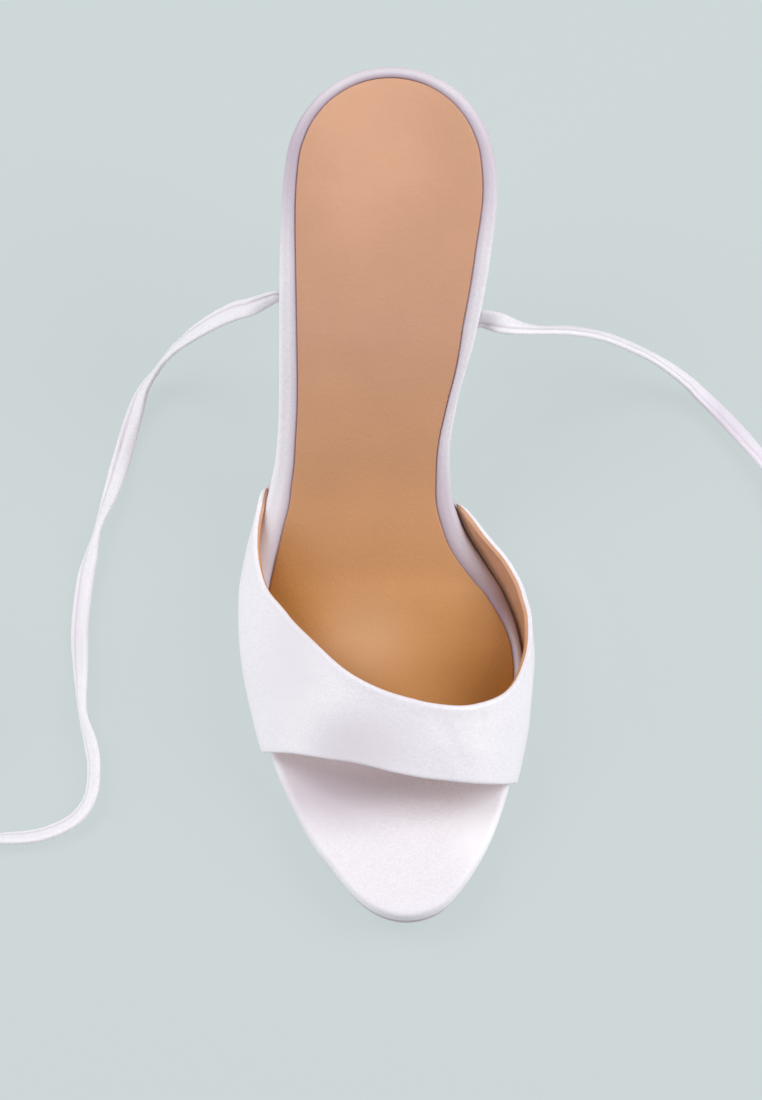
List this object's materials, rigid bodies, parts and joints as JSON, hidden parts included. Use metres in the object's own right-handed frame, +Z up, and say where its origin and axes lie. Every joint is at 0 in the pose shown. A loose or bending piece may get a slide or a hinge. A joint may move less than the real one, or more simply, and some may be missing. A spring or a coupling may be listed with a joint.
{
  "type": "lace up heeled sandal",
  "caption": "Right heeled mule sandal with a wide satin vamp, wrapped footbed, tan sock, slim covered heel and a long flat tie on each side.",
  "frame": {"origin": "on the floor, under the middle of the shoe's box without its ties", "axes": "+Z up, -Y towards the toe, +Y towards the heel, +X to the medial side"},
  "size_m": [0.3674, 0.2201, 0.0938],
  "materials": {
    "tread": "matt tan leather sole",
    "satin": "soft white satin",
    "tie_satin": "soft white satin",
    "sock_leather": "smooth tan leather",
    "top_piece": "matt hard plastic"
  },
  "bodies": {
    "root": {"outsole": "tread", "footbed": "satin", "sock": "sock_leather", "upper": "satin", "heel": "satin", "heel_top_piece": "top_piece", "lace_lateral": "tie_satin", "lace_medial": "tie_satin", "coil_lateral": "tie_satin", "coil_medial": "tie_satin", "knot_lateral": "tie_satin", "knot_medial": "tie_satin"}
  },
  "joints": []
}
